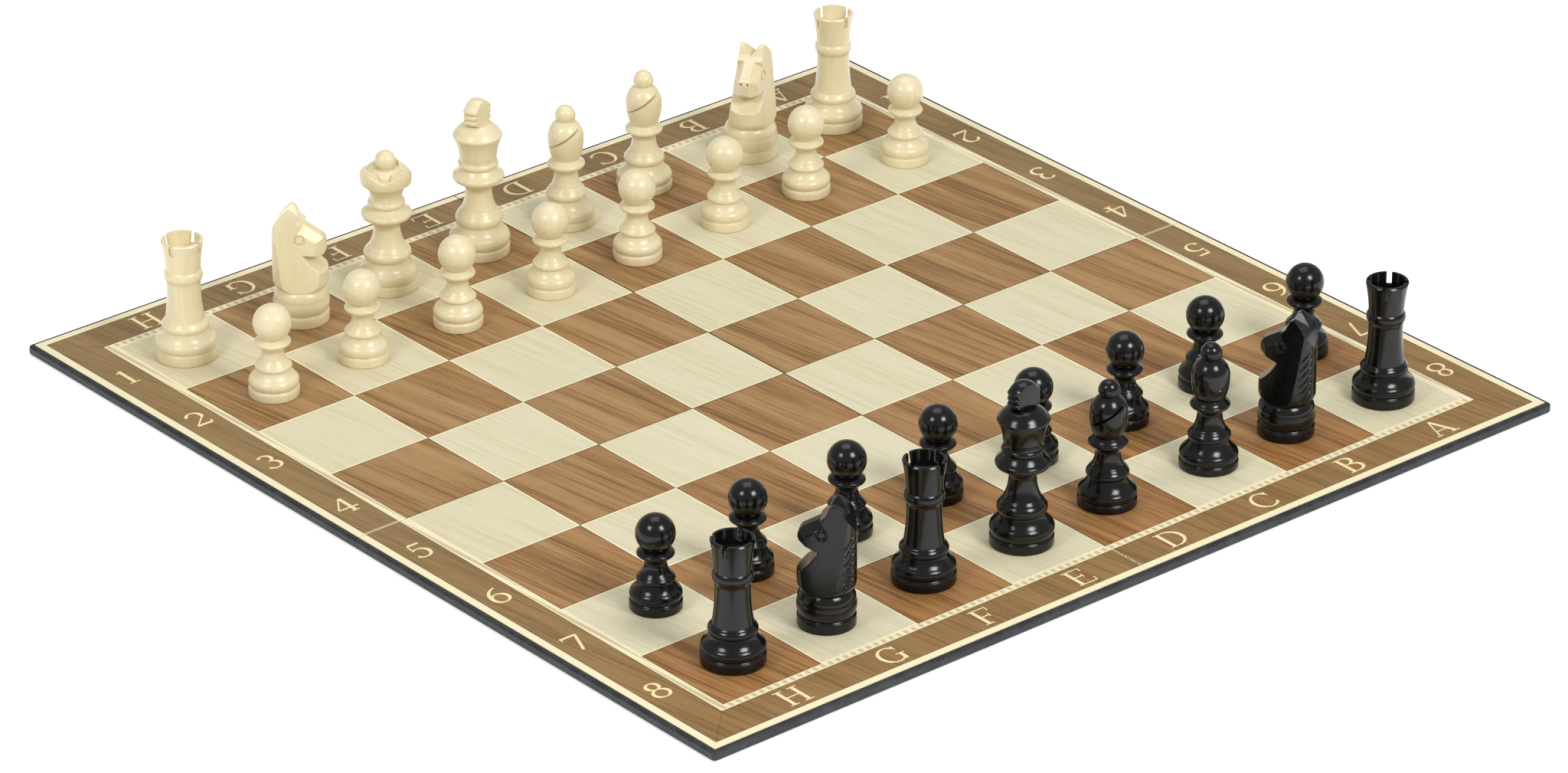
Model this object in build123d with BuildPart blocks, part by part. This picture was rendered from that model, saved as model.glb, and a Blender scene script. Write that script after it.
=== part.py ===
"""Folding chess board with thirty-two turned and carved wooden men, set out for a game.

The board is quartered: every quarter is a greyboard core with a leatherette wrap and a printed face label.
Two quarters fold up about the line between ranks 4 and 5, two fold under about the line between files d
and e, and a slit separates the quarters at White's end. Units are millimetres. The origin is the middle
of the board's underside, +X runs towards the a file, +Y towards White and +Z up.
"""

import math
import os
from collections import namedtuple

from build123d import *

os.makedirs("parts", exist_ok=True)

# Board
square = 50.8
border = 24.9  # from the outermost squares to the edge of the label
wrap_margin = 2.3  # wrap left showing past the label
core_thickness = 3.8
wrap_thickness = 0.4
label_thickness = 0.3
turn_in = 14.0  # wrap folded over onto the face, under the label
gutter = 0.8  # from a fold line to the edge of a core
fold_gap = 0.05  # from a fold line to the wrap and label on each side
slit_gap = 0.3  # from the middle of the slit to each of its sides
corner_radius = 2.0
edge_radius = 1.1

# Men
lip_thickness = 1.6  # wall round the rook's hollow top
rook_notch_width = 2.2
rook_notch_depth = 5.2
queen_notch_count = 3
queen_notch_slope = 25.0  # degrees from level on each side of a notch
queen_notch_depth = 4.6
king_plate_thickness = 6.6
king_rib_count = 3
mitre_slot_width = 1.0
mitre_slot_depth = 4.6
mitre_slot_rise = 35.0  # degrees
dowel_radius = 3.0
dowel_length = 7.0
dowel_clearance = 0.1

board_half = 4 * square + border + wrap_margin
label_half = 4 * square + border
face_height = wrap_thickness + core_thickness
board_top = face_height + label_thickness
files = "hgfedcba"

# One cut of a turning: how far it rises, the radius that it ends at, and how far it bows outwards
Cut = namedtuple("Cut", "name rise radius bow")


def foot(radius, side, bulge_rise, bulge_end, bulge_bow):
    """The cuts that every man begins with: a square-sided foot, a groove and a round bulge."""
    return [
        Cut("foot arris", 0.5, radius, 0.12),
        Cut("foot side", side, radius, 0),
        Cut("foot shoulder", 0.5, radius - 0.5, 0.12),
        Cut("groove", 0.4, radius - 0.8, 0),
        Cut("bulge", bulge_rise, bulge_end, bulge_bow),
    ]


def ball(radius, neck_radius):
    """The cut that ends a turning in a ball, sunk until it is as wide as the neck under it."""
    rise = math.sqrt(radius**2 - neck_radius**2) + radius
    half_chord = math.hypot(rise, neck_radius) / 2
    return Cut("ball", rise, 0, radius - math.sqrt(radius**2 - half_chord**2))


def dome(rise, radius):
    """The cut that closes a turning with a round cap, level at its middle."""
    cap_radius = (radius**2 + rise**2) / (2 * rise)
    half_chord = math.hypot(rise, radius) / 2
    return Cut("dome", rise, 0, cap_radius - math.sqrt(cap_radius**2 - half_chord**2))


pawn_cuts = foot(10.9, 3.0, 4.4, 9.7, 0.9) + [
    Cut("sweep", 3.5, 7.4, -0.3),
    Cut("ring", 2.4, 7.2, 0.7),
    Cut("ring top", 1.6, 5.9, 0.1),
    Cut("neck", 4.1, 4.6, -0.35),
    Cut("collar underside", 3.2, 7.0, -0.4),
    Cut("collar edge", 2.0, 7.1, 0.75),
    Cut("collar top", 1.2, 5.0, 0.1),
    ball(8.25, 5.0),
]

rook_cuts = foot(13.4, 3.7, 4.4, 12.2, 1.0) + [
    Cut("sweep", 3.9, 9.8, -0.35),
    Cut("ring", 3.2, 9.4, 0.65),
    Cut("ring top", 1.2, 8.5, 0.1),
    Cut("column", 17.4, 7.4, -0.45),
    Cut("collar underside", 1.5, 7.9, -0.1),
    Cut("collar edge", 3.9, 7.9, 0.5),
    Cut("collar seat", 0.5, 7.5, 0),
    Cut("turret", 13.3, 9.2, -0.3),
    Cut("rim", 0.6, 8.8, 0),
    Cut("rim top", 0, 9.2 - lip_thickness, 0),
    Cut("hollow side", -6.8, 9.0 - lip_thickness, 0),
    Cut("hollow floor", 0, 0, 0),
]

bishop_cuts = foot(12.5, 2.4, 4.2, 11.3, 0.95) + [
    Cut("sweep", 4.6, 8.3, -0.4),
    Cut("ring", 3.6, 8.2, 0.85),
    Cut("ring top", 1.6, 6.9, 0.15),
    Cut("column", 6.6, 5.3, -0.4),
    Cut("collar underside", 3.0, 7.7, -0.45),
    Cut("collar edge", 2.2, 7.6, 0.8),
    Cut("collar top", 1.6, 6.0, 0.1),
    Cut("mitre, lower", 9.8, 8.0, 0.6),
    Cut("mitre, upper", 8.4, 3.9, 1.3),
    ball(4.6, 3.9),
]
mitre_slot_height = 42.5  # above the board, where the slot crosses the bishop's front

queen_cuts = foot(12.9, 3.1, 5.6, 11.5, 1.2) + [
    Cut("sweep", 4.1, 9.4, -0.35),
    Cut("ring", 4.6, 9.1, 1.25),
    Cut("ring top", 1.6, 8.0, 0.15),
    Cut("column", 9.0, 5.7, -0.55),
    Cut("collar underside", 4.4, 10.2, -0.9),
    Cut("collar edge", 3.0, 10.2, 1.0),
    Cut("collar top", 2.2, 7.4, -0.15),
    Cut("bead", 3.2, 7.3, 0.95),
    Cut("crown stem", 2.8, 7.2, -0.15),
    Cut("crown underside", 5.0, 11.0, -0.7),
    Cut("crown lip", 7.5, 10.6, 0.6),
    Cut("lip top", 0, 8.8, 0),
    Cut("lip inside", -4.4, 8.2, 0.15),
    Cut("trough", -0.2, 7.6, 0),
    Cut("dome", 4.0, 3.4, 1.3),
    ball(4.7, 3.4),
]

king_stem_cuts = foot(13.4, 3.3, 5.6, 12.2, 1.1) + [
    Cut("sweep", 4.0, 9.7, -0.35),
    Cut("ring", 5.0, 9.3, 1.05),
    Cut("ring top", 1.8, 8.0, 0.15),
    Cut("column", 9.6, 5.8, -0.6),
    Cut("collar underside", 4.6, 10.5, -0.9),
    Cut("collar edge", 3.2, 10.4, 1.05),
    Cut("collar top", 3.0, 8.1, -0.15),
    Cut("bead", 3.0, 8.0, 0.95),
    Cut("crown stem", 2.5, 8.4, -0.1),
    Cut("crown", 9.0, 10.9, -0.5),
    Cut("crown lip", 1.6, 10.4, 0.35),
    Cut("crown dome", 4.4, 4.6, 0.7),
]
king_finial_cuts = [Cut("finial underside", 0.6, 6.0, 0.1)] + [Cut("rib", 2.5, 6.0, 0.9)] * king_rib_count
king_finial_cuts += [dome(3.3, 6.0)]

knight_foot_cuts = foot(12.1, 3.8, 6.2, 11.9, 0.7) + [Cut("shoulder", 4.6, 10.1, 0.55)]

# Knight's head: heights above the board, and distances forward of its axis
head_radius = 12.1  # of the turned blank
head_taper = 3.2  # height over which the blank draws in to its seat
head_seat_inset = 1.9
throat_forward = 2.6
nose_forward = 11.6
brow_forward = 2.2
ear_forward = -3.8
back_curve = 15.7  # below the ear, where the back starts to curve forward
cheek_half_width = 5.0  # at the nose
cheek_lean = 8.0  # degrees that the cheeks spread towards the seat
cheek_toe_in = 10.0  # degrees that the cheeks close towards the nose
nose_chamfer = 2.2
ear_notch_depth = 5.6
ear_notch_width = 8.6
eye_forward = 1.3
eye_radius = 2.5
eye_pupil_radius = 1.5
eye_depth = 0.8
nostril_radius = 0.6
nostril_spacing = 3.0
nostril_depth = 2.0
mane_cut_width = 0.9
mane_cut_depth = 0.85
mane_cut_length = 9.5
mane_cut_angle = 31.0  # degrees round from the back
mane_rows = 6

# The heights that a knight's head is carved to: black knights hold their noses higher
Carving = namedtuple("Carving", "ear brow nose_top nose_bottom throat chest eye")
carvings = {
    "white": Carving(53.0, 46.4, 41.8, 32.4, 33.2, 24.6, 39.8),
    "black": Carving(55.4, 47.8, 43.6, 37.4, 34.8, 24.2, 42.4),
}


def height_of(cuts):
    """The height that a turning ends at."""
    return sum(cut.rise for cut in cuts)


def highest(cuts):
    """The greatest height that a turning reaches."""
    heights = [height_of(cuts[: count + 1]) for count in range(len(cuts))]
    return max(heights)


def turn(stand, cuts, start_radius, start_height=0.0, mode=Mode.ADD):
    """Turns the cuts about the upright of the plane given, as part of the man being built."""
    upright = Plane(stand.origin, x_dir=stand.x_dir, z_dir=-stand.y_dir)
    here = Vector(start_radius, start_height)
    with BuildSketch(upright) as outline:
        with BuildLine():
            Line((0, start_height), here)
            for cut in cuts:
                there = Vector(cut.radius, here.Y + cut.rise)
                along = (there - here).normalized()
                middle = (here + there) / 2 + Vector(along.Y, -along.X) * cut.bow
                if cut.bow:
                    ThreePointArc(here, middle, there)
                else:
                    Line(here, there)
                here = there
            if here.X:
                Line(here, (0, here.Y))
            Line((0, here.Y), (0, start_height))
        make_face()
    revolve(outline.sketch, axis=Axis(stand.origin, stand.z_dir), mode=mode)


def standing(file, rank, turned=0.0, slide=(0.0, 0.0)):
    """The plane a man stands on: its square's middle, moved a little, and turned about the vertical."""
    x = (files.index(file) + 0.5 - 4) * square + slide[0]
    y = (4.5 - rank) * square + slide[1]
    facing = math.radians(turned)
    return Plane((x, y, board_top), x_dir=(math.cos(facing), math.sin(facing), 0), z_dir=(0, 0, 1))


def finish(man, name):
    """Names the finished piece and writes it."""
    man.part.label = name
    export_step(man.part, f"parts/{name}.step")


# Board quarters


def board_slab(half, bottom, top, corner, edge):
    """Adds a slab of the whole board with round corners and, with an edge radius, round edges."""
    with BuildSketch(Plane.XY.offset(bottom)) as outline:
        RectangleRounded(2 * half, 2 * half, corner)
    slab = extrude(outline.sketch, amount=top - bottom)
    if edge:
        rims = slab.faces().filter_by(Axis.Z)
        fillet([e for face in rims for e in face.edges()], edge)


def keep_quarter(side_x, side_y, gap_x, gap_y):
    """Cuts away everything outside one quarter, up to a gap from each fold line."""
    reach = board_half + 1
    with BuildSketch(Plane.XY.offset(-1)) as outline:
        with Locations((side_x * (gap_x + reach) / 2, side_y * (gap_y + reach) / 2)):
            Rectangle(reach - gap_x, reach - gap_y)
    extrude(outline.sketch, amount=board_top + 2, mode=Mode.INTERSECT)


for corner_square in ("a8", "a1", "h8", "h1"):
    side_x = 1 if corner_square[0] == "a" else -1
    side_y = 1 if corner_square[1] == "1" else -1
    gap_x = slit_gap if side_y == 1 else fold_gap

    with BuildPart() as core:
        board_slab(
            board_half - wrap_thickness,
            wrap_thickness,
            face_height - wrap_thickness,
            corner_radius - wrap_thickness,
            edge_radius - wrap_thickness,
        )
        with BuildSketch(Plane.XY.offset(face_height - wrap_thickness)):
            Rectangle(2 * (board_half - turn_in), 2 * (board_half - turn_in))
        extrude(amount=wrap_thickness)
        keep_quarter(side_x, side_y, gutter, gutter)

    with BuildPart() as wrap:
        board_slab(board_half, 0, face_height, corner_radius, edge_radius)
        keep_quarter(side_x, side_y, gap_x, fold_gap)
        add(core.part, mode=Mode.SUBTRACT)

    with BuildPart() as label:
        with BuildSketch(Plane.XY.offset(face_height)):
            Rectangle(2 * label_half, 2 * label_half)
        extrude(amount=label_thickness)
        keep_quarter(side_x, side_y, gap_x, fold_gap)

    finish(core, f"core_{corner_square}")
    finish(wrap, f"wrap_{corner_square}")
    finish(label, f"label_{corner_square}")


# Men


def pawn(stand):
    turn(stand, pawn_cuts, pawn_cuts[0].radius - 0.4)


def rook(stand):
    """A turned tower with a hollow top and four notches."""
    turn(stand, rook_cuts, rook_cuts[0].radius - 0.4)
    rim_height = highest(rook_cuts)
    across = 2 * rook_cuts[0].radius
    with BuildSketch(stand.offset(rim_height - rook_notch_depth)) as outline:
        Rectangle(across, rook_notch_width)
        Rectangle(rook_notch_width, across)
    extrude(outline.sketch, amount=rook_notch_depth, mode=Mode.SUBTRACT)


def bishop(stand):
    """A turned mitre with a saw cut sloping across its front."""
    turn(stand, bishop_cuts, bishop_cuts[0].radius - 0.4)
    rise = math.radians(mitre_slot_rise)
    widest = max(cut.radius for cut in bishop_cuts if cut.name.startswith("mitre"))
    inner_end = stand.origin + stand.z_dir * mitre_slot_height + stand.x_dir * (widest - mitre_slot_depth)
    along = stand.y_dir * math.cos(rise) + stand.z_dir * math.sin(rise)
    with BuildSketch(Plane(inner_end, x_dir=along, z_dir=stand.x_dir)) as outline:
        Rectangle(3 * widest, mitre_slot_width)
    extrude(outline.sketch, amount=2 * mitre_slot_depth, mode=Mode.SUBTRACT)


def queen(stand):
    """A turned crown whose lip is cut into scallops by wide notches."""
    turn(stand, queen_cuts, queen_cuts[0].radius - 0.4)
    names = [cut.name for cut in queen_cuts]
    lip_height = height_of(queen_cuts[: names.index("lip top")])
    lip_inside = queen_cuts[names.index("lip inside")].radius
    half_width = queen_notch_depth / math.tan(math.radians(queen_notch_slope))
    for turned in range(queen_notch_count):
        angle = math.tau * turned / queen_notch_count
        outward = stand.x_dir * math.cos(angle) + stand.y_dir * math.sin(angle)
        inner_end = stand.origin + stand.z_dir * lip_height + outward * lip_inside
        with BuildSketch(Plane(inner_end, x_dir=stand.z_dir.cross(outward), z_dir=outward)) as outline:
            with BuildLine():
                Polyline((0, -queen_notch_depth), (half_width, 0), (half_width, 1), (-half_width, 1), (-half_width, 0),
                         close=True)
            make_face()
        extrude(outline.sketch, amount=lip_inside, mode=Mode.SUBTRACT)


def king(stand):
    """A turned crown with a ribbed finial that is cut flat on two sides."""
    turn(stand, king_stem_cuts + king_finial_cuts, king_stem_cuts[0].radius - 0.4)
    finial_foot = height_of(king_stem_cuts)
    finial_height = height_of(king_finial_cuts)
    widest = 2 * max(cut.radius + cut.bow for cut in king_finial_cuts)
    for side in (-1, 1):
        with BuildSketch(stand.offset(finial_foot)) as outline:
            with Locations((0, side * (king_plate_thickness + widest) / 2)):
                Rectangle(widest, widest)
        extrude(outline.sketch, amount=finial_height, mode=Mode.SUBTRACT)


def knight_foot(stand):
    """The turned foot that a knight's head is glued to, bored for the head's dowel."""
    turn(stand, knight_foot_cuts, knight_foot_cuts[0].radius - 0.4)
    seat = height_of(knight_foot_cuts)
    with BuildSketch(stand.offset(seat)) as outline:
        Circle(dowel_radius + dowel_clearance)
    extrude(outline.sketch, amount=-(dowel_length + dowel_clearance), mode=Mode.SUBTRACT)


def knight_profile(side_on, carving, seat):
    """The outline of a knight's head seen from its side."""
    back_straight = carving.ear - back_curve
    reach = head_radius + 1
    with BuildSketch(side_on) as outline:
        with BuildLine():
            Polyline((-reach, seat - 1), (-reach, back_straight), (-head_radius - 0.05, back_straight))
            ThreePointArc(
                (-head_radius - 0.05, back_straight),
                (-0.81 * head_radius, carving.ear - 0.41 * back_curve),
                (ear_forward, carving.ear),
            )
            Polyline(
                (ear_forward, carving.ear),
                (ear_forward + 1.8, carving.ear - 1.2),
                (ear_forward + 3.6, carving.ear - 5.2),
                (brow_forward, carving.brow),
                (nose_forward - 2.0, carving.nose_top),
            )
            ThreePointArc(
                (nose_forward - 2.0, carving.nose_top),
                (nose_forward - 0.6, carving.nose_top - 1.7),
                (nose_forward, carving.nose_top - 4.0),
            )
            Polyline(
                (nose_forward, carving.nose_top - 4.0),
                (nose_forward, carving.nose_bottom + 1.2),
                (nose_forward - 0.9, carving.nose_bottom),
                (throat_forward, carving.throat),
            )
            ThreePointArc(
                (throat_forward, carving.throat),
                ((throat_forward + head_radius) / 2 - 0.7, (carving.throat + carving.chest) / 2 - 0.7),
                (head_radius + 0.05, carving.chest),
            )
            Polyline(
                (head_radius + 0.05, carving.chest),
                (reach, carving.chest),
                (reach, seat - 1),
                (-reach, seat - 1),
            )
        make_face()
    return outline.sketch


def chamfer_nose(stand, carving, half_width):
    """Takes the corners off along the top of the nose and down its front."""
    brow = stand.origin + stand.x_dir * brow_forward + stand.z_dir * carving.brow
    nose = stand.origin + stand.x_dir * (nose_forward - 2.0) + stand.z_dir * carving.nose_top
    chin = stand.origin + stand.x_dir * nose_forward + stand.z_dir * (carving.nose_bottom - 1)
    runs = [
        (brow, (nose - brow).normalized(), (nose - brow).length + 4.0),
        (chin, stand.z_dir, carving.nose_top - carving.nose_bottom + 4.0),
    ]
    inner = half_width - nose_chamfer
    for start, along, length in runs:
        for side in (-1, 1):
            with BuildSketch(Plane(start, x_dir=stand.y_dir * side, z_dir=along)) as outline:
                outer = 1 if (along.cross(stand.y_dir * side)).dot(stand.x_dir + stand.z_dir) > 0 else -1
                with BuildLine():
                    Polyline(
                        (inner - 1, outer),
                        (half_width + 5, -outer * (nose_chamfer + 5)),
                        (half_width + 5, outer),
                        close=True,
                    )
                make_face()
            extrude(outline.sketch, amount=length, mode=Mode.SUBTRACT)


def knight_head(stand, carving):
    """A turned blank sawn to a horse's profile, planed to two cheeks and carved."""
    seat = height_of(knight_foot_cuts)
    side_on = Plane(stand.origin, x_dir=stand.x_dir, z_dir=-stand.y_dir)
    extrude(knight_profile(side_on, carving, seat), amount=head_radius + 1, both=True)
    blank = [
        Cut("seat", head_taper, head_radius, 0.35),
        Cut("side", carving.ear, head_radius, 0),
    ]
    turn(stand, blank, head_radius - head_seat_inset, seat, mode=Mode.INTERSECT)

    lean = math.tan(math.radians(cheek_lean))
    toe_in = math.tan(math.radians(cheek_toe_in))
    nose_middle = (carving.nose_top + carving.nose_bottom) / 2
    for side in (-1, 1):
        facing = (stand.x_dir * toe_in + stand.y_dir * side + stand.z_dir * lean).normalized()
        nose = stand.origin + stand.x_dir * nose_forward + stand.z_dir * nose_middle
        on_cheek = nose + stand.y_dir * side * cheek_half_width
        with BuildSketch(Plane(on_cheek, z_dir=facing)) as outline:
            Rectangle(8 * head_radius, 8 * head_radius)
        extrude(outline.sketch, amount=2 * head_radius, mode=Mode.SUBTRACT)
    chamfer_nose(stand, carving, cheek_half_width - lean * (carving.nose_top - nose_middle))
    for side in (-1, 1):
        facing = (stand.x_dir * toe_in + stand.y_dir * side + stand.z_dir * lean).normalized()
        eye_side = cheek_half_width + toe_in * (nose_forward - eye_forward) + lean * (nose_middle - carving.eye)
        eye = stand.origin + stand.x_dir * eye_forward + stand.z_dir * carving.eye + stand.y_dir * side * eye_side
        with BuildSketch(Plane(eye, z_dir=facing)) as outline:
            Circle(eye_radius)
            Circle(eye_pupil_radius, mode=Mode.SUBTRACT)
        extrude(outline.sketch, amount=-eye_depth, mode=Mode.SUBTRACT)

    front = Plane(stand.origin + stand.x_dir * (nose_forward + 1), x_dir=stand.y_dir, z_dir=stand.x_dir)
    with BuildSketch(front) as outline:
        with Locations((-nostril_spacing / 2, carving.nose_top - 3), (nostril_spacing / 2, carving.nose_top - 3)):
            Circle(nostril_radius)
    extrude(outline.sketch, amount=-(1 + nostril_depth), mode=Mode.SUBTRACT)
    with BuildSketch(front) as outline:
        with BuildLine():
            Polyline(
                (0, carving.ear - ear_notch_depth),
                (ear_notch_width / 2, carving.ear + 1),
                (-ear_notch_width / 2, carving.ear + 1),
                close=True,
            )
        make_face()
    extrude(outline.sketch, amount=-3 * head_radius, mode=Mode.SUBTRACT)

    lowest = seat + head_taper + 2
    pitch = (carving.ear - back_curve + 4 - lowest) / mane_rows
    for row in range(mane_rows):
        for side in (-1, 1):
            angle = math.radians(180 - side * mane_cut_angle)
            outward = stand.x_dir * math.cos(angle) + stand.y_dir * math.sin(angle)
            sideways = stand.z_dir.cross(outward)
            along = sideways * side * 0.8 + stand.z_dir * 0.6
            middle = stand.origin + outward * (head_radius - mane_cut_depth) + stand.z_dir * (lowest + row * pitch)
            with BuildSketch(Plane(middle, x_dir=along, z_dir=outward)) as outline:
                Rectangle(mane_cut_length, mane_cut_width)
            extrude(outline.sketch, amount=2, mode=Mode.SUBTRACT)

    with BuildSketch(stand.offset(seat)) as outline:
        Circle(dowel_radius)
    extrude(outline.sketch, amount=-dowel_length)


# Every man: colour, kind, square, the degrees it is turned by, and how far it stands off the middle of its
# square, as a hand leaves it
men = [
    ("white", rook, "h1", 20, (-6, 1)),
    ("white", "knight", "g1", -50, (2, -3)),
    ("white", queen, "f1", -130, (-1, -2)),
    ("white", king, "e1", 20, (0, -0.5)),
    ("white", bishop, "d1", -130, (-3, -2)),
    ("white", bishop, "c1", -130, (-4.5, 4)),
    ("white", "knight", "b1", -145, (2.5, -1)),
    ("white", rook, "a1", 0, (1, -0.5)),
    ("black", rook, "h8", 30, (0.5, -0.5)),
    ("black", "knight", "g8", 130, (-1.5, -0.5)),
    ("black", rook, "f8", 10, (1, 1.5)),
    ("black", king, "e8", 0, (2, 0)),
    ("black", bishop, "d8", -130, (1, 3)),
    ("black", bishop, "c8", -40, (5, 0.5)),
    ("black", "knight", "b8", 117, (-1, 1)),
    ("black", rook, "a8", 40, (1.5, -2.5)),
]
white_pawns = {"h": (1, -1.5), "g": (-1, 0), "f": (-0.5, 0), "e": (-0.5, -0.5),
               "d": (-1.5, 1), "c": (-1.5, 2), "b": (-4, 3.5), "a": (1, 0.5)}
black_pawns = {"h": (5.5, 3), "g": (2, 2), "f": (3.5, 1.5), "e": (2, 1.5),
               "d": (3.5, 1), "c": (4.5, 1.5), "b": (2, 4), "a": (5, -0.5)}
men += [("white", pawn, f"{file}2", 0, slide) for file, slide in white_pawns.items()]
men += [("black", pawn, f"{file}7", 0, slide) for file, slide in black_pawns.items()]

for colour, kind, place, turned, slide in men:
    stand = standing(place[0], int(place[1]), turned, slide)
    if kind == "knight":
        with BuildPart() as base:
            knight_foot(stand)
        with BuildPart() as head:
            knight_head(stand, carvings[colour])
        finish(base, f"{colour}_knight_{place[0]}_base")
        finish(head, f"{colour}_knight_{place[0]}_head")
    else:
        with BuildPart() as man:
            kind(stand)
        only_one = kind in (king, queen)
        finish(man, f"{colour}_{kind.__name__}" + ("" if only_one else f"_{place[0]}"))
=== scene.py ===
import math

import bmesh
import bpy
from mathutils import Matrix, Vector


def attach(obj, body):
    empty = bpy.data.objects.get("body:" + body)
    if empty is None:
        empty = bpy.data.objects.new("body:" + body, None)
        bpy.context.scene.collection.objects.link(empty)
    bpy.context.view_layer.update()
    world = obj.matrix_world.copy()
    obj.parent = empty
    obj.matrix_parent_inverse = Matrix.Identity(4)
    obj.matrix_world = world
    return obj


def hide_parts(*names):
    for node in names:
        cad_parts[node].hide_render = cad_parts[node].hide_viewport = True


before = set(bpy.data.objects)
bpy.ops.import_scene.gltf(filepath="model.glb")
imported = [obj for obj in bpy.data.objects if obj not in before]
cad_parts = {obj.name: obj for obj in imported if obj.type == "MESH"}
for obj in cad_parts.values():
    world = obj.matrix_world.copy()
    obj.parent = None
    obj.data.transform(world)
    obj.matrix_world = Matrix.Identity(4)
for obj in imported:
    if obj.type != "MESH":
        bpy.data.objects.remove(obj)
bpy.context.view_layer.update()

mm = 0.001
square = 50.8 * mm
boardTop = 4.5 * mm
quarters = ("a8", "a1", "h8", "h1")
files = "hgfedcba"


# Node helpers: a Wire is one output socket that arithmetic can be done on


class Wire:
    def __init__(self, tree, socket):
        self.tree = tree
        self.socket = socket

    def __add__(self, other):
        return maths(self.tree, "ADD", self, other)

    def __radd__(self, other):
        return maths(self.tree, "ADD", self, other)

    def __sub__(self, other):
        return maths(self.tree, "SUBTRACT", self, other)

    def __rsub__(self, other):
        return maths(self.tree, "SUBTRACT", other, self)

    def __mul__(self, other):
        return maths(self.tree, "MULTIPLY", self, other)

    def __rmul__(self, other):
        return maths(self.tree, "MULTIPLY", self, other)

    def __truediv__(self, other):
        return maths(self.tree, "DIVIDE", self, other)

    def __gt__(self, other):
        return maths(self.tree, "GREATER_THAN", self, other)

    def __lt__(self, other):
        return maths(self.tree, "LESS_THAN", self, other)

    def size(self):
        return maths(self.tree, "ABSOLUTE", self)

    def whole(self):
        return maths(self.tree, "FLOOR", self)


def plug(tree, socket, value):
    if isinstance(value, Wire):
        value = value.socket
    if isinstance(value, bpy.types.NodeSocket):
        tree.links.new(value, socket)
    else:
        socket.default_value = value


def node(tree, kind, inputs=None, **settings):
    made = tree.nodes.new(kind)
    for name, value in settings.items():
        setattr(made, name, value)
    for place, value in (inputs or {}).items():
        plug(tree, made.inputs[place], value)
    return made


def maths(tree, operation, *values):
    made = node(tree, "ShaderNodeMath", dict(enumerate(values)), operation=operation)
    return Wire(tree, made.outputs[0])


def either(tree, mask, low, high):
    made = node(tree, "ShaderNodeMix", {0: mask, 6: low, 7: high}, data_type="RGBA")
    return Wire(tree, made.outputs[2])


def tinted(tree, amount, colour, tint):
    mixing = {0: amount, 6: colour, 7: tint}
    made = node(tree, "ShaderNodeMix", mixing, data_type="RGBA", blend_type="MULTIPLY")
    return Wire(tree, made.outputs[2])


def ramp(tree, value, low, high, start=0.0, end=1.0):
    made = node(
        tree,
        "ShaderNodeMapRange",
        {"Value": value, "From Min": low, "From Max": high, "To Min": start, "To Max": end},
        interpolation_type="SMOOTHSTEP",
    )
    return Wire(tree, made.outputs[0])


def joined(tree, x, y, z):
    return node(tree, "ShaderNodeCombineXYZ", {0: x, 1: y, 2: z}).outputs[0]


def noise(tree, place, scale=1.0, detail=2.0, roughness=0.5, distortion=0.0):
    inputs = {
        "Vector": place, "Scale": scale, "Detail": detail, "Roughness": roughness, "Distortion": distortion
    }
    return Wire(tree, node(tree, "ShaderNodeTexNoise", inputs).outputs[0])


def bumped(tree, height, distance, strength=1.0, under=None):
    inputs = {"Height": height, "Distance": distance, "Strength": strength}
    if under:
        inputs["Normal"] = under
    return node(tree, "ShaderNodeBump", inputs).outputs[0]


def axes(tree):
    place = node(tree, "ShaderNodeTexCoord").outputs["Object"]
    parts = node(tree, "ShaderNodeSeparateXYZ", {0: place})
    return place, [Wire(tree, out) for out in parts.outputs]


def srgb(red, green, blue):
    def straight(value):
        value /= 255
        return value / 12.92 if value <= 0.04045 else ((value + 0.055) / 1.055) ** 2.4

    return (straight(red), straight(green), straight(blue), 1.0)


def material(name):
    made = bpy.data.materials.new(name)
    made.use_nodes = True
    tree = made.node_tree
    tree.nodes.clear()
    surface = node(tree, "ShaderNodeBsdfPrincipled")
    tree.links.new(surface.outputs[0], node(tree, "ShaderNodeOutputMaterial").inputs[0])
    return made, tree, surface


def added(name, data):
    made = bpy.data.objects.new(name, data)
    bpy.context.scene.collection.objects.link(made)
    return made


def paint(obj, finish):
    obj.data.materials.clear()
    obj.data.materials.append(finish)


# Veneer grain, shared by every printed wood: streaks and pores along y, a little skewed


def grainGroup():
    group = bpy.data.node_groups.new("veneerGrain", "ShaderNodeTree")
    for name, kind in (("u", "Float"), ("v", "Float"), ("seed", "Float")):
        group.interface.new_socket(name, in_out="INPUT", socket_type="NodeSocket" + kind)
    for name in ("bands", "streaks", "pores"):
        group.interface.new_socket(name, in_out="OUTPUT", socket_type="NodeSocketFloat")
    given = node(group, "NodeGroupInput")
    u, v, seed = (Wire(group, out) for out in given.outputs[:3])
    across = u + v * 0.13
    bend = noise(group, joined(group, across * 0.8, v * 0.35, seed * 31), detail=1) * 0.5
    bands = noise(group, joined(group, (across + bend * 0.5) * 6.0, v * 0.3, seed * 17), detail=2)
    fine = joined(group, (across + bend * 0.12) * 42, v * 0.8, seed * 23)
    streaks = noise(group, fine, detail=3, roughness=0.65)
    pores = noise(group, joined(group, across * 95, v * 5.0, seed * 11), detail=1)
    out = node(group, "NodeGroupOutput")
    for place, value in enumerate((bands, streaks, pores)):
        plug(group, out.inputs[place], value)
    return group


grain = grainGroup()

print("board face")

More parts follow.
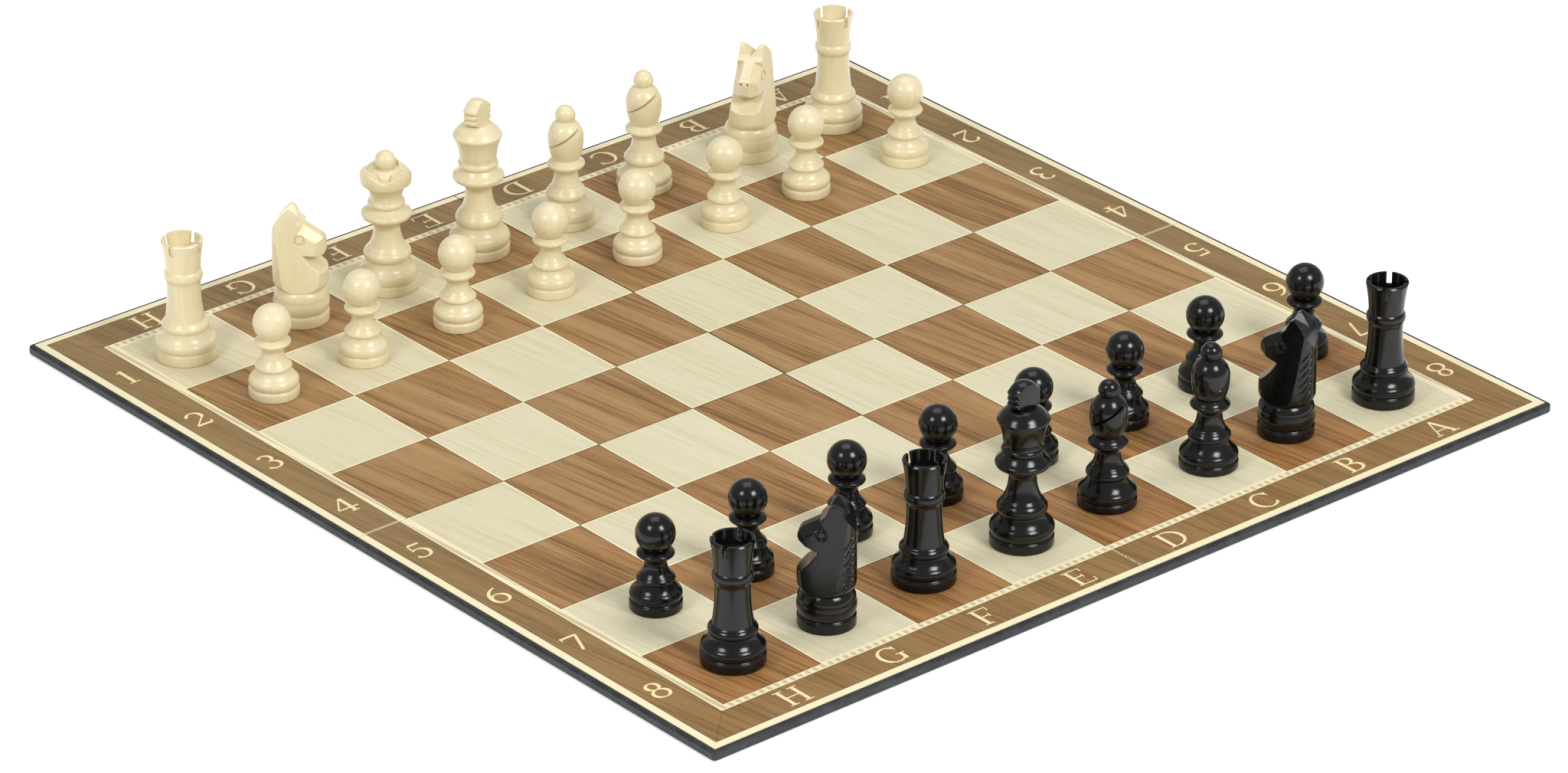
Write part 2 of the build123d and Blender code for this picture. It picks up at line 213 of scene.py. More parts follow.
face = {
    "lightLine": 0.017, "darkLine": 0.009, "band": 0.074, "walnut": 0.42, "stripe": 0.078,
    "walnutDark": srgb(116, 80, 40), "walnutMid": srgb(163, 125, 76), "walnutPale": srgb(182, 149, 103),
    "mapleDark": srgb(208, 197, 158), "maplePale": srgb(221, 214, 184),
    "borderDark": srgb(112, 87, 52), "borderPale": srgb(152, 124, 80),
    "cream": srgb(238, 228, 190), "tan": srgb(184, 160, 118), "outline": srgb(92, 66, 40),
    "walnutWarmth": (1.03, 0.80, 0.60, 1), "borderWarmth": (1.08, 0.88, 0.66, 1),
}


def labelMaterial():
    made, tree, surface = material("printedLabel")
    place, (x, y, _) = axes(tree)
    u, v = x / square, y / square
    column, row = u.whole(), v.whole()
    chance = node(tree, "ShaderNodeTexWhiteNoise", {"Vector": joined(tree, column, row, 0.5)})
    seed = Wire(tree, chance.outputs[0])
    outside = maths(tree, "MAXIMUM", u.size(), v.size()) - 4.0
    inBorder = outside > 0.0
    seed = seed * (1.0 - inBorder)
    veneer = node(tree, "ShaderNodeGroup", node_tree=grain)
    for socket, value in zip(veneer.inputs, (u, v, seed)):
        plug(tree, socket, value)
    bands, streaks, pores = (Wire(tree, out) for out in veneer.outputs)
    light = maths(tree, "PINGPONG", column + row, 1.0)

    streak = ramp(tree, streaks * 0.75 + bands * 0.25, 0.34, 0.58)
    pore = ramp(tree, pores, 0.60, 0.72)
    walnut = either(tree, streak, face["walnutDark"], face["walnutMid"])
    walnut = either(tree, ramp(tree, bands, 0.42, 0.72) * 0.5, walnut, face["walnutPale"])
    walnut = either(tree, pore * 0.35, walnut, face["walnutDark"])
    warm = ramp(tree, v, 1.0, -4.0)
    warmWalnut = tinted(tree, warm * 0.55, walnut, face["walnutWarmth"])
    maple = either(tree, streak * 0.75 + seed * 0.25, face["mapleDark"], face["maplePale"])
    maple = either(tree, pore * 0.12, maple, face["tan"])
    border = either(tree, streak * 0.7 + bands * 0.3, face["borderDark"], face["borderPale"])
    border = either(tree, pore * 0.4, border, face["borderDark"])
    border = tinted(tree, warm * 0.5, border, face["borderWarmth"])

    edgeU = (u - maths(tree, "ROUND", u)).size()
    edgeV = (v - maths(tree, "ROUND", v)).size()
    edge = maths(tree, "MINIMUM", edgeU, edgeV)
    field = either(tree, light, warmWalnut, maple)
    lightLine = light * (edge < face["lightLine"])
    darkLine = (1.0 - light) * (edge < face["darkLine"])
    field = either(tree, lightLine, field, face["cream"])
    field = either(tree, darkLine * 0.75, field, face["outline"])

    stripes = maths(tree, "FRACT", (u + v * 0.05) / face["stripe"] + 0.25)
    stripes = ramp(tree, (stripes - 0.5).size(), 0.20, 0.30)
    inlay = either(tree, stripes * 0.65, face["cream"], face["tan"])
    rims = maths(tree, "MAXIMUM", outside < 0.011, outside > face["band"] - 0.012)
    inlay = either(tree, rims * (outside < face["band"]), inlay, face["cream"])
    mitred = (u.size() - v.size()).size() < 0.006
    outer = either(tree, outside > face["walnut"], border, face["cream"])
    rule = (outside < face["band"] + 0.007) + (outside > face["walnut"] - 0.008) * (outside < face["walnut"])
    outer = either(tree, maths(tree, "MINIMUM", rule, 1.0) * 0.55, outer, face["outline"])
    outer = either(tree, mitred * (outside < face["walnut"]) * 0.5, outer, face["outline"])
    outer = either(tree, outside > face["band"], inlay, outer)
    printed = either(tree, inBorder, field, outer)

    foldV = v.size()
    foldU = maths(tree, "MAXIMUM", u.size(), v * 4.0)
    ridge = ramp(tree, foldV, 0.02, 0.006) * inBorder
    creaseShadeAndCrack = ramp(tree, foldU, 0.012, 0.004)
    wear = ramp(tree, noise(tree, place, 900), 0.35, 0.6)
    printed = either(tree, ridge * 0.5, printed, face["cream"])
    # Dark lines in the field along both folds are painted shade in the fold grooves
    printed = either(tree, ramp(tree, foldV, 0.008, 0.003) * (1.0 - inBorder) * 0.7, printed, face["outline"])
    printed = either(tree, creaseShadeAndCrack * (1.0 - inBorder) * 0.8, printed, face["outline"])
    printed = either(tree, creaseShadeAndCrack * inBorder * wear * 0.8, printed, face["cream"])
    plug(tree, surface.inputs["Base Color"], printed)

    groove = ramp(tree, maths(tree, "MINIMUM", foldV, foldU), 0.0, 0.022)
    relief = bumped(tree, groove, 0.25 * mm, 0.7)
    paper = noise(tree, place, 2600, detail=2)
    texture = bumped(tree, paper * 0.5 + streaks * 0.5, 0.012 * mm, 0.6, relief)
    tree.links.new(texture, surface.inputs["Normal"])
    plug(tree, surface.inputs["Roughness"], ramp(tree, streaks, 0.3, 0.7, 0.44, 0.54))
    surface.inputs["Specular IOR Level"].default_value = 0.4
    return made


def wrapMaterial():
    made, tree, surface = material("leatherette")
    place = axes(tree)[0]
    cells = Wire(tree, node(tree, "ShaderNodeTexVoronoi", {"Vector": place, "Scale": 1500}).outputs[0])
    folds = noise(tree, place, 180, detail=3)
    tone = either(tree, ramp(tree, folds, 0.35, 0.7), srgb(22, 24, 26), srgb(42, 45, 48))
    plug(tree, surface.inputs["Base Color"], tone)
    plug(tree, surface.inputs["Roughness"], ramp(tree, cells, 0.0, 0.6, 0.36, 0.52))
    pebbled = bumped(tree, cells, 0.08 * mm, 0.7)
    tree.links.new(bumped(tree, folds, 0.2 * mm, 0.35, pebbled), surface.inputs["Normal"])
    return made


def boardMaterial():
    made, tree, surface = material("greyboard")
    place, (x, y, z) = axes(tree)
    plies = noise(tree, joined(tree, x * 300, y * 300, z * 4200), detail=3)
    flecks = noise(tree, place, 1400, detail=2)
    mottle = ramp(tree, plies * 0.6 + flecks * 0.4, 0.35, 0.65)
    tone = either(tree, mottle, srgb(140, 134, 122), srgb(178, 172, 160))
    plug(tree, surface.inputs["Base Color"], tone)
    surface.inputs["Roughness"].default_value = 0.9
    tree.links.new(bumped(tree, flecks, 0.06 * mm, 0.6), surface.inputs["Normal"])
    return made


finishes = {"label": labelMaterial(), "wrap": wrapMaterial(), "core": boardMaterial()}
for corner in quarters:
    for layer, finish in finishes.items():
        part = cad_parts[f"{layer}_{corner}"]
        paint(part, finish)

print("letters and digits")

glyphHeight = 0.245 * square
glyphWidth = 0.245 * square
stem, hair, serif = 0.135, 0.055, 0.045
glyphs = {
    "A": [("line", 0.08, 0, 0.45, 1, hair), ("line", 0.45, 1, 0.82, 0, stem),
          ("line", 0.2, 0.32, 0.68, 0.32, hair),
          ("line", -0.04, 0.02, 0.22, 0.02, serif), ("line", 0.64, 0.02, 1.0, 0.02, serif)],
    "B": [("line", 0.2, 0, 0.2, 1, stem), ("arc", 0.4, 0.765, 0.24, 0.21, -90, 90),
          ("arc", 0.42, 0.275, 0.32, 0.25, -90, 90),
          ("line", 0.04, 0.975, 0.4, 0.975, serif), ("line", 0.2, 0.54, 0.42, 0.54, serif),
          ("line", 0.04, 0.025, 0.42, 0.025, serif)],
    "C": [("arc", 0.54, 0.5, 0.42, 0.475, 42, 318), ("line", 0.87, 0.72, 0.87, 0.97, serif),
          ("line", 0.87, 0.1, 0.87, 0.26, serif)],
    "D": [("line", 0.2, 0, 0.2, 1, stem), ("arc", 0.4, 0.5, 0.48, 0.475, -90, 90),
          ("line", 0.04, 0.975, 0.4, 0.975, serif), ("line", 0.04, 0.025, 0.4, 0.025, serif)],
    "E": [("line", 0.22, 0, 0.22, 1, stem), ("line", 0.06, 0.975, 0.76, 0.975, serif),
          ("line", 0.22, 0.52, 0.6, 0.52, hair),
          ("line", 0.06, 0.025, 0.8, 0.025, serif), ("line", 0.76, 0.99, 0.74, 0.78, serif),
          ("line", 0.6, 0.42, 0.6, 0.62, serif), ("line", 0.8, 0.01, 0.84, 0.25, serif)],
    "F": [("line", 0.24, 0, 0.24, 1, stem), ("line", 0.08, 0.975, 0.78, 0.975, serif),
          ("line", 0.24, 0.5, 0.6, 0.5, hair),
          ("line", 0.08, 0.025, 0.42, 0.025, serif), ("line", 0.78, 0.99, 0.76, 0.76, serif),
          ("line", 0.6, 0.4, 0.6, 0.6, serif)],
    "G": [("arc", 0.52, 0.5, 0.42, 0.475, 42, 325), ("line", 0.84, 0.06, 0.84, 0.44, stem),
          ("line", 0.66, 0.44, 1.0, 0.44, serif), ("line", 0.85, 0.72, 0.85, 0.97, serif)],
    "H": [("line", 0.2, 0, 0.2, 1, stem), ("line", 0.8, 0, 0.8, 1, stem),
          ("line", 0.2, 0.51, 0.8, 0.51, hair),
          ("line", 0.02, 0.975, 0.38, 0.975, serif), ("line", 0.02, 0.025, 0.38, 0.025, serif),
          ("line", 0.62, 0.975, 0.98, 0.975, serif), ("line", 0.62, 0.025, 0.98, 0.025, serif)],
    "1": [("line", 0.5, 0, 0.5, 1, stem), ("line", 0.32, 0.86, 0.5, 0.97, serif),
          ("line", 0.3, 0.025, 0.7, 0.025, serif)],
    "2": [("arc", 0.48, 0.7, 0.27, 0.275, 165, -35), ("line", 0.7, 0.55, 0.2, 0.08, hair),
          ("line", 0.18, 0.06, 0.78, 0.06, 0.11), ("line", 0.78, 0.02, 0.83, 0.22, serif)],
    "3": [("arc", 0.46, 0.76, 0.23, 0.22, 150, -90), ("arc", 0.46, 0.28, 0.29, 0.26, 90, -150)],
    "4": [("line", 0.6, 1, 0.12, 0.3, hair), ("line", 0.12, 0.28, 0.9, 0.28, 0.07),
          ("line", 0.62, 0, 0.62, 1, stem),
          ("line", 0.46, 0.025, 0.78, 0.025, serif)],
    "5": [("line", 0.3, 0.95, 0.74, 0.95, 0.1), ("line", 0.3, 0.97, 0.26, 0.55, hair),
          ("arc", 0.44, 0.32, 0.3, 0.3, 125, -150)],
    "6": [("arc", 0.5, 0.31, 0.29, 0.29, 0, 360), ("arc", 0.78, 0.36, 0.57, 0.63, 182, 96)],
    "7": [("line", 0.18, 0.95, 0.8, 0.95, 0.1), ("line", 0.78, 0.95, 0.4, 0, 0.1),
          ("line", 0.19, 1.0, 0.19, 0.8, serif)],
    "8": [("arc", 0.5, 0.76, 0.22, 0.22, 0, 360), ("arc", 0.5, 0.28, 0.29, 0.26, 0, 360)],
}


def strokeOutline(stroke):
    if stroke[0] == "line":
        x0, y0, x1, y1, width = stroke[1:]
        return [(x0, y0, width), (x1, y1, width)]
    middleX, middleY, radiusX, radiusY, start, end = stroke[1:]
    points = []
    steps = 28
    for step in range(steps + 1):
        angle = math.radians(start + (end - start) * step / steps)
        width = hair + (stem - hair) * abs(math.cos(angle)) ** 1.5
        points.append((middleX + radiusX * math.cos(angle), middleY + radiusY * math.sin(angle), width))
    return points


def addRibbon(built, points, place, low, high):
    rings = []
    for index, (x, y, width) in enumerate(points):
        near = points[max(index - 1, 0)]
        far = points[min(index + 1, len(points) - 1)]
        along = Vector((far[0] - near[0], far[1] - near[1])).normalized()
        side = Vector((-along.y, along.x)) * width / 2
        ring = []
        for sign, height in ((1, low), (-1, low), (-1, high), (1, high)):
            ring.append(built.verts.new(place(x + sign * side.x, y + sign * side.y, height)))
        rings.append(ring)
    for first, second in zip(rings, rings[1:]):
        for corner in range(4):
            follows = (corner + 1) % 4
            built.faces.new((first[corner], first[follows], second[follows], second[corner]))
    built.faces.new(rings[0][::-1])
    built.faces.new(rings[-1])


def glyphPlacement(middle, turned):
    right = Vector((math.cos(turned), math.sin(turned), 0))
    up = Vector((-math.sin(turned), math.cos(turned), 0))

    def place(x, y, height):
        return middle + right * (x - 0.5) * glyphWidth + up * (y - 0.5) * glyphHeight + Vector((0, 0, height))

    return place


def goldMaterial():
    made, tree, surface = material("printedGold")
    place = axes(tree)[0]
    fleck = noise(tree, place, 1500, detail=2)
    tone = either(tree, ramp(tree, fleck, 0.3, 0.7), srgb(236, 214, 156), srgb(250, 234, 184))
    plug(tree, surface.inputs["Base Color"], tone)
    plug(tree, surface.inputs["Roughness"], ramp(tree, fleck, 0.3, 0.7, 0.42, 0.5))
    tree.links.new(bumped(tree, fleck, 0.01 * mm, 0.5), surface.inputs["Normal"])
    return made


def meshFrom(built, name):
    bmesh.ops.recalc_face_normals(built, faces=built.faces)
    mesh = bpy.data.meshes.new(name)
    built.to_mesh(mesh)
    built.free()
    return added(name, mesh)


gold = goldMaterial()
lettering = {corner: bmesh.new() for corner in quarters}
outset = 4.247 * square
for index in range(8):
    letter = files[index].upper()
    digit = str(index + 1)
    x = (index - 3.5) * square
    y = (3.5 - index) * square
    marks = [
        (letter, x, -outset, 0.0), (letter, x, outset, math.pi),
        (digit, -outset, y, 0.0), (digit, outset, y, math.pi),
    ]
    for text, left, along, turned in marks:
        corner = ("a" if left > 0 else "h") + ("1" if along > 0 else "8")
        place = glyphPlacement(Vector((left, along, boardTop)), turned)
        for order, stroke in enumerate(glyphs[text]):
            top = (0.018 + 0.004 * order) * mm
            addRibbon(lettering[corner], strokeOutline(stroke), place, -0.02 * mm, top)
for corner, built in lettering.items():
    made = meshFrom(built, f"lettering_{corner}")
    paint(made, gold)
    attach(made, f"quarter_{corner}")

print("men's finishes")


def paleWoodMaterial():
    made, tree, surface = material("paleWood")
    place, (x, y, z) = axes(tree)
    fibres = noise(tree, joined(tree, x * 700, y * 700, z * 45), detail=3, roughness=0.6)
    rings = noise(tree, joined(tree, x * 120, y * 120, z * 14), detail=2)
    figure = ramp(tree, fibres * 0.5 + rings * 0.5, 0.32, 0.66)
    tone = either(tree, figure, srgb(228, 214, 172), srgb(234, 222, 184))
    pore = ramp(tree, noise(tree, joined(tree, x * 2600, y * 2600, z * 160), detail=1), 0.62, 0.74)
    tone = either(tree, pore * 0.12, tone, srgb(205, 180, 132))
    plug(tree, surface.inputs["Base Color"], tone)
    plug(tree, surface.inputs["Roughness"], ramp(tree, fibres, 0.3, 0.7, 0.30, 0.38))
    surface.inputs["Coat Weight"].default_value = 0.35
    surface.inputs["Coat Roughness"].default_value = 0.16
    uneven = bumped(tree, noise(tree, place, 220), 0.12 * mm, 0.3)
    tree.links.new(bumped(tree, fibres, 0.012 * mm, 0.3, uneven), surface.inputs["Normal"])
    return made


def blackLacquerMaterial():
    made, tree, surface = material("blackLacquer")
    place, (x, y, z) = axes(tree)
    orangePeel = noise(tree, place, 1100, detail=2)
    wrinkles = noise(tree, joined(tree, x * 420, y * 420, z * 200), detail=3, roughness=0.6)
    tone = either(tree, ramp(tree, wrinkles, 0.3, 0.7), srgb(8, 9, 8), srgb(16, 17, 16))
    plug(tree, surface.inputs["Base Color"], tone)
    plug(tree, surface.inputs["Roughness"], ramp(tree, orangePeel, 0.3, 0.7, 0.15, 0.22))
    surface.inputs["Specular IOR Level"].default_value = 0.4
    uneven = bumped(tree, wrinkles, 0.035 * mm, 0.35)
    tree.links.new(bumped(tree, orangePeel, 0.012 * mm, 0.3, uneven), surface.inputs["Normal"])
    return made


woods = {"white": paleWoodMaterial(), "black": blackLacquerMaterial()}

print("turned men")


def foot(radius, side, bulgeRise, bulgeEnd, bulgeBow):
    return [(0.5, radius, 0.12), (side, radius, 0), (0.5, radius - 0.5, 0.12), (0.4, radius - 0.8, 0),
            (bulgeRise, bulgeEnd, bulgeBow)]


def ball(radius, neck):
    rise = math.sqrt(radius**2 - neck**2) + radius
    halfChord = math.hypot(rise, neck) / 2
    return (rise, 0, radius - math.sqrt(radius**2 - halfChord**2))


def dome(rise, radius):
    capRadius = (radius**2 + rise**2) / (2 * rise)
    halfChord = math.hypot(rise, radius) / 2
    return (rise, 0, capRadius - math.sqrt(capRadius**2 - halfChord**2))


# Each cut of a turning: rise, radius that it ends at, bow outwards, in millimetres
turnings = {
    "pawn": foot(10.9, 3.0, 4.4, 9.7, 0.9) + [
        (3.5, 7.4, -0.3), (2.4, 7.2, 0.7), (1.6, 5.9, 0.1), (4.1, 4.6, -0.35), (3.2, 7.0, -0.4),
        (2.0, 7.1, 0.75),
        (1.2, 5.0, 0.1), ball(8.25, 5.0)],
    "rook": foot(13.4, 3.7, 4.4, 12.2, 1.0) + [
        (3.9, 9.8, -0.35), (3.2, 9.4, 0.65), (1.2, 8.5, 0.1), (17.4, 7.4, -0.45), (1.5, 7.9, -0.1),
        (3.9, 7.9, 0.5),
        (0.5, 7.5, 0), (13.3, 9.2, -0.3), (0.6, 8.8, 0), (0, 7.6, 0), (-6.8, 7.4, 0), (0, 0, 0)],
    "bishop": foot(12.5, 2.4, 4.2, 11.3, 0.95) + [
        (4.6, 8.3, -0.4), (3.6, 8.2, 0.85), (1.6, 6.9, 0.15), (6.6, 5.3, -0.4), (3.0, 7.7, -0.45),
        (2.2, 7.6, 0.8),
        (1.6, 6.0, 0.1), (9.8, 8.0, 0.6), (8.4, 3.9, 1.3), ball(4.6, 3.9)],
    "queen": foot(12.9, 3.1, 5.6, 11.5, 1.2) + [
        (4.1, 9.4, -0.35), (4.6, 9.1, 1.25), (1.6, 8.0, 0.15), (9.0, 5.7, -0.55), (4.4, 10.2, -0.9),
        (3.0, 10.2, 1.0),
        (2.2, 7.4, -0.15), (3.2, 7.3, 0.95), (2.8, 7.2, -0.15), (5.0, 11.0, -0.7), (7.5, 10.6, 0.6),
        (0, 8.8, 0),
        (-4.4, 8.2, 0.15), (-0.2, 7.6, 0), (4.0, 3.4, 1.3), ball(4.7, 3.4)],
    "king": foot(13.4, 3.3, 5.6, 12.2, 1.1) + [
        (4.0, 9.7, -0.35), (5.0, 9.3, 1.05), (1.8, 8.0, 0.15), (9.6, 5.8, -0.6), (4.6, 10.5, -0.9),
        (3.2, 10.4, 1.05),
        (3.0, 8.1, -0.15), (3.0, 8.0, 0.95), (2.5, 8.4, -0.1), (9.0, 10.9, -0.5), (1.6, 10.4, 0.35),
        (4.4, 4.6, 0.7),
        (0.6, 6.0, 0.1), (2.5, 6.0, 0.9), (2.5, 6.0, 0.9), (2.5, 6.0, 0.9), dome(3.3, 6.0)],
    "knight": foot(12.1, 3.8, 6.2, 11.9, 0.7) + [(4.6, 10.1, 0.55), (0, 0, 0)],
}


spin = {"chord": 0.42, "mostSteps": 26, "weld": 0.004}


def profile(cuts):
    here = Vector((cuts[0][1] - 0.4, 0.0))
    points = [Vector((0.0, 0.0)), here.copy()]
    for rise, radius, bow in cuts:
        there = Vector((radius, here.y + rise))
        chord = there - here
        if abs(bow) < 0.01:
            points.append(there)
        else:
            outward = Vector((chord.y, -chord.x)).normalized()
            half = chord.length / 2
            arcRadius = (half**2 + bow**2) / (2 * bow)
            centre = (here + there) / 2 + outward * (bow - arcRadius)
            sweep = 2 * math.asin(max(-1.0, min(1.0, half / abs(arcRadius))))
            if abs(bow) > half:
                sweep = math.tau - sweep
            steps = max(3, min(spin["mostSteps"], round(abs(sweep) * abs(arcRadius) / spin["chord"])))
            start = here - centre
            turnBy = sweep if bow > 0 else -sweep
            for step in range(1, steps + 1):
                angle = turnBy * step / steps
                spun = Vector((start.x * math.cos(angle) - start.y * math.sin(angle),
                               start.x * math.sin(angle) + start.y * math.cos(angle)))
                points.append(centre + spun)
            points[-1] = there.copy()
        here = there
    if here.x > 0:
        points.append(Vector((0.0, here.y)))
    else:
        points[-1] = Vector((0.0, here.y))
    return points


def turned(kind, steps=88):
    built = bmesh.new()
    points = [built.verts.new((max(p.x, 0.0) * mm, 0, p.y * mm)) for p in profile(turnings[kind])]
    edges = [built.edges.new(pair) for pair in zip(points, points[1:])]
    bmesh.ops.spin(
        built, geom=points + edges, cent=(0, 0, 0), axis=(0, 0, 1),
        angle=math.tau, steps=steps, use_merge=True
    )
    bmesh.ops.remove_doubles(built, verts=built.verts, dist=spin["weld"] * mm)
    return built


def blockFrom(points, along, length):
    built = bmesh.new()
    near = [built.verts.new(p) for p in points]
    far = [built.verts.new(p + along * length) for p in points]
    built.faces.new(near)
    built.faces.new(far[::-1])
    for index in range(len(points)):
        follows = (index + 1) % len(points)
        built.faces.new((near[follows], near[index], far[index], far[follows]))
    return built


def box(low, high):
    corners = [Vector((x, y, low[2])) * mm for x, y in
               ((low[0], low[1]), (high[0], low[1]), (high[0], high[1]), (low[0], high[1]))]
    return blockFrom(corners, Vector((0, 0, 1)), (high[2] - low[2]) * mm)


notch = {"half": 1.1, "reach": 14, "floor": 49.8, "top": 56}


def rookCutters():
    half, reach, floor, top = notch.values()
    return [box((-reach, -half, floor), (reach, half, top)), box((-half, -reach, floor), (half, reach, top))]


mitre = {"rise": 35, "half": 0.5, "reach": 12, "inner": 8.0 - 4.6, "height": 42.5, "depth": 9.2}


def bishopCutters():
    rise = math.radians(mitre["rise"])
    reach, half = mitre["reach"], mitre["half"]
    along = Vector((0, math.cos(rise), math.sin(rise)))
    across = Vector((0, -math.sin(rise), math.cos(rise)))
    middle = Vector((mitre["inner"], 0, mitre["height"]))
    shape = ((-reach, -half), (reach, -half), (reach, half), (-reach, half))
    corners = [(middle + along * a + across * b) * mm for a, b in shape]
    return [blockFrom(corners, Vector((1, 0, 0)), mitre["depth"] * mm)]


coronet = {"depth": 4.6, "slope": 25, "rim": 57.5, "inner": 7.9, "reach": 8.2, "above": 1, "notches": 3}


def queenCutters():
    depth, above = coronet["depth"], coronet["above"]
    halfWidth = depth / math.tan(math.radians(coronet["slope"]))
    wedges = []
    for turn in range(coronet["notches"]):
        angle = math.tau * turn / coronet["notches"]
        outward = Vector((math.cos(angle), math.sin(angle), 0))
        sideways = Vector((0, 0, 1)).cross(outward)
        middle = Vector((0, 0, coronet["rim"])) + outward * coronet["inner"]
        shape = ((0, -depth), (halfWidth, 0), (halfWidth, above), (-halfWidth, above), (-halfWidth, 0))
        corners = [(middle + sideways * a + Vector((0, 0, b))) * mm for a, b in shape]
        wedges.append(blockFrom(corners, outward, coronet["reach"] * mm))
    return wedges


finial = {"half": 3.3, "outer": 13, "reach": 9, "floor": 62.1, "top": 75}


def kingCutters():
    half, outer, reach, floor, top = finial.values()
    return [box((-reach, near, floor), (reach, far, top)) for near, far in ((-outer, -half), (half, outer))]


cutters = {"rook": rookCutters, "bishop": bishopCutters, "queen": queenCutters, "king": kingCutters}


def carved(kind):
    man = meshFrom(turned(kind), "blank_" + kind)
    tools = [meshFrom(built, f"cutter_{kind}") for built in (cutters[kind]() if kind in cutters else [])]
    for tool in tools:
        cut = man.modifiers.new("cut", "BOOLEAN")
        cut.operation = "DIFFERENCE"
        cut.solver = "EXACT"
        cut.object = tool
    if tools:
        worn = man.modifiers.new("worn", "BEVEL")
        worn.width = 0.12 * mm
        worn.segments = 2
        worn.limit_method = "ANGLE"
        worn.angle_limit = math.radians(50)
    result = bpy.data.meshes.new_from_object(man.evaluated_get(bpy.context.evaluated_depsgraph_get()))
    for spare in tools + [man]:
        bpy.data.objects.remove(spare)
    return result


def smooth(mesh, angle):
    mesh.shade_smooth()
    mesh.set_sharp_from_angle(angle=math.radians(angle))


masters = {kind: carved(kind) for kind in turnings}
for kind, mesh in masters.items():
    smooth(mesh, 38)
    print(kind, len(mesh.vertices), "points")

# Every man: its square, the degrees that it is turned by, and how far it stands off the middle of its square
men = {
    "white": {
        "rook": {"h1": (20, -6, 1), "a1": (0, 1, -0.5)},
        "knight": {"g1": (-50, 2, -3), "b1": (-145, 2.5, -1)},
        "queen": {"f1": (-130, -1, -2)},
        "king": {"e1": (20, 0, -0.5)},
        "bishop": {"d1": (-130, -3, -2), "c1": (-130, -4.5, 4)},
        "pawn": {"h2": (0, 1, -1.5), "g2": (0, -1, 0), "f2": (0, -0.5, 0), "e2": (0, -0.5, -0.5),
                 "d2": (0, -1.5, 1),
                 "c2": (0, -1.5, 2), "b2": (0, -4, 3.5), "a2": (0, 1, 0.5)},
    },
    "black": {
        "rook": {"h8": (30, 0.5, -0.5), "f8": (10, 1, 1.5), "a8": (40, 1.5, -2.5)},
        "knight": {"g8": (130, -1.5, -0.5), "b8": (117, -1, 1)},
        "king": {"e8": (0, 2, 0)},
        "bishop": {"d8": (-130, 1, 3), "c8": (-40, 5, 0.5)},
        "pawn": {"h7": (0, 5.5, 3), "g7": (0, 2, 2), "f7": (0, 3.5, 1.5), "e7": (0, 2, 1.5),
                 "d7": (0, 3.5, 1),
                 "c7": (0, 4.5, 1.5), "b7": (0, 2, 4), "a7": (0, 5, -0.5)},
    },
}


carving = {"weld": 0.002, "voxel": 0.26, "softness": 0.5, "passes": 2}


def carvedHead(name):
    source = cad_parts[name]
    built = bmesh.new()
    built.from_mesh(source.data)
    bmesh.ops.remove_doubles(built, verts=built.verts, dist=carving["weld"] * mm)
    head = meshFrom(built, name + "_rough")
    remesh = head.modifiers.new("remesh", "REMESH")
    remesh.mode = "VOXEL"
    remesh.voxel_size = carving["voxel"] * mm
    worn = head.modifiers.new("worn", "SMOOTH")
    worn.factor = carving["softness"]
    worn.iterations = carving["passes"]
    mesh = bpy.data.meshes.new_from_object(head.evaluated_get(bpy.context.evaluated_depsgraph_get()))
    bpy.data.objects.remove(head)
    mesh.shade_smooth()
    return mesh


def addPiece(name, mesh, colour, body, cadNode):
    made = added(name, mesh)
    paint(made, woods[colour])
    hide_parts(cadNode)
    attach(made, body)


for colour, kinds in men.items():
    for kind, places in kinds.items():
        for place, (degrees, slideX, slideY) in places.items():
            x = (files.index(place[0]) - 3.5) * square + slideX * mm
            y = (4.5 - int(place[1])) * square + slideY * mm
            body = f"{colour}_{kind}" + ("" if kind in ("king", "queen") else "_" + place[0])
            cadNode = body + ("_base" if kind == "knight" else "")
            mesh = masters[kind].copy()
            turn = Matrix.Rotation(math.radians(degrees), 4, "Z")
            mesh.transform(Matrix.Translation((x, y, boardTop)) @ turn)
            addPiece("turned_" + cadNode, mesh, colour, body, cadNode)
            if kind == "knight":
                addPiece("carved_" + body + "_head", carvedHead(body + "_head"), colour, body, body + "_head")
    print(colour, "men stand")

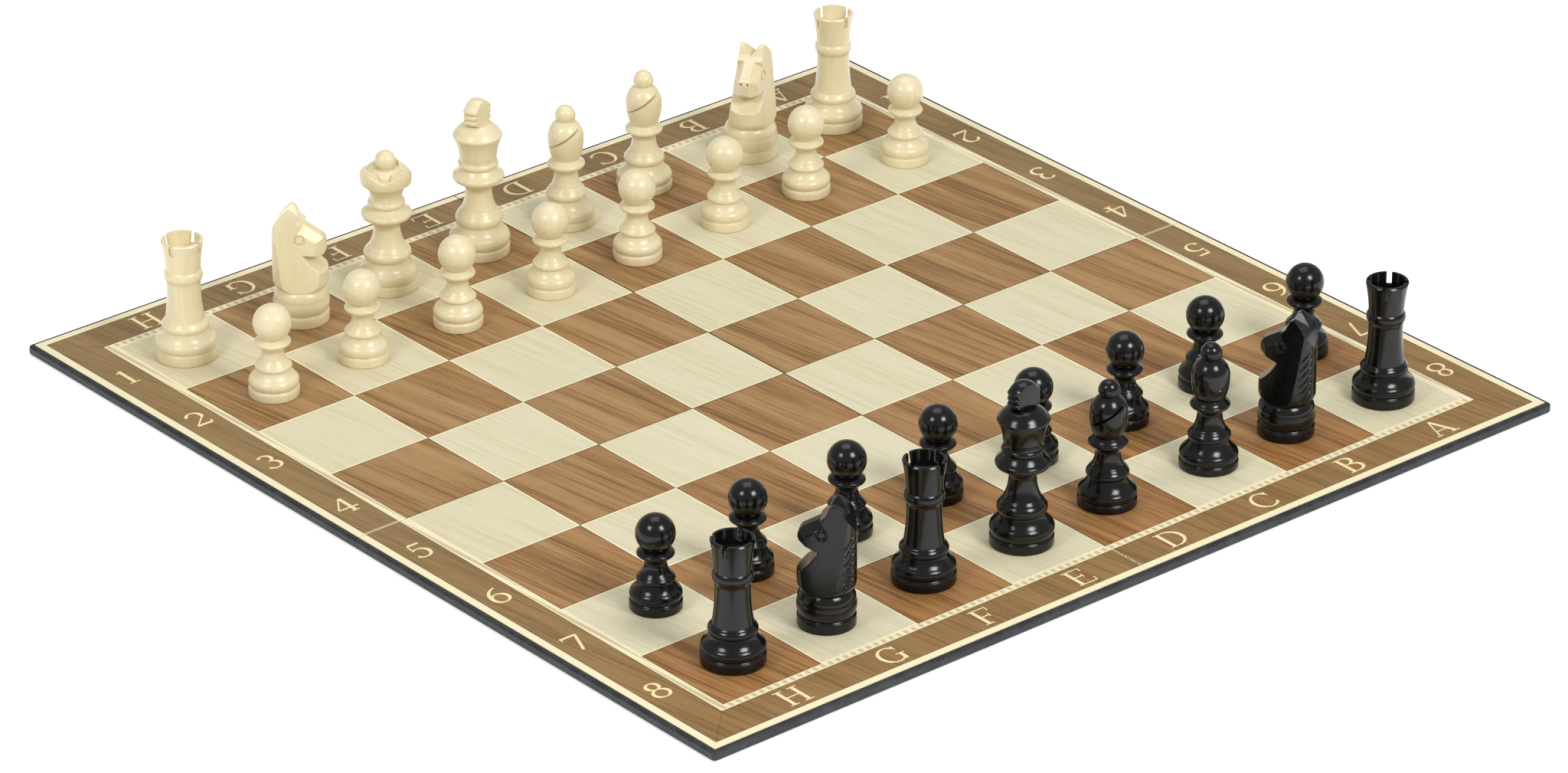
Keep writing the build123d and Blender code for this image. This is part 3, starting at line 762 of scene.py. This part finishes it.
print("floor, lights and camera")

floorReach = 9
floorMesh = bpy.data.meshes.new("floor")
floorCorners = [(x * floorReach, y * floorReach, 0) for x, y in ((-1, -1), (1, -1), (1, 1), (-1, 1))]
floorMesh.from_pydata(floorCorners, [], [(0, 1, 2, 3)])
floor = added("floor", floorMesh)
floor.location.z = -0.3 * mm
white, tree, surface = material("paleFloor")
surface.inputs["Base Color"].default_value = (0.85, 0.85, 0.85, 1)
surface.inputs["Emission Color"].default_value = (1, 1, 1, 1)
surface.inputs["Emission Strength"].default_value = 0.5
surface.inputs["Roughness"].default_value = 0.8
surface.inputs["Specular IOR Level"].default_value = 0.1
paint(floor, white)

world = bpy.data.worlds.new("studio")
bpy.context.scene.world = world
world.use_nodes = True
world.node_tree.nodes["Background"].inputs[0].default_value = (1.0, 1.0, 1.0, 1)
world.node_tree.nodes["Background"].inputs[1].default_value = 0.42
bpy.context.scene.view_settings.view_transform = "Standard"

middle = Vector((0, 0, 0.02))
lamps = {
    "rightSoftbox": {"azimuth": 274, "height": 42, "away": 1.9, "size": 0.6, "power": 19},
    "leftSoftbox": {"azimuth": 186, "height": 42, "away": 1.9, "size": 0.5, "power": 9},
    "overhead": {"azimuth": 60, "height": 75, "away": 2.2, "size": 1.4, "power": 11},
}
for name, lamp in lamps.items():
    light = bpy.data.lights.new(name, "AREA")
    light.size = lamp["size"]
    light.energy = lamp["power"]
    holder = added(name, light)
    level, rise = math.radians(lamp["azimuth"]), math.radians(lamp["height"])
    offset = Vector((math.cos(level) * math.cos(rise), math.sin(level) * math.cos(rise), math.sin(rise)))
    holder.location = middle + offset * lamp["away"]
    holder.rotation_euler = (-offset).to_track_quat("-Z", "Y").to_euler()

lens = bpy.data.cameras.new("camera")
lens.sensor_width = 36
lens.lens = 176.62
lens.clip_start, lens.clip_end = 0.1, 60
camera = added("camera", lens)
camera.location = (-1.8841, -2.2294, 1.4902)
camera.rotation_euler = (math.radians(62.926), 0, math.radians(-40.199))
bpy.context.scene.camera = camera
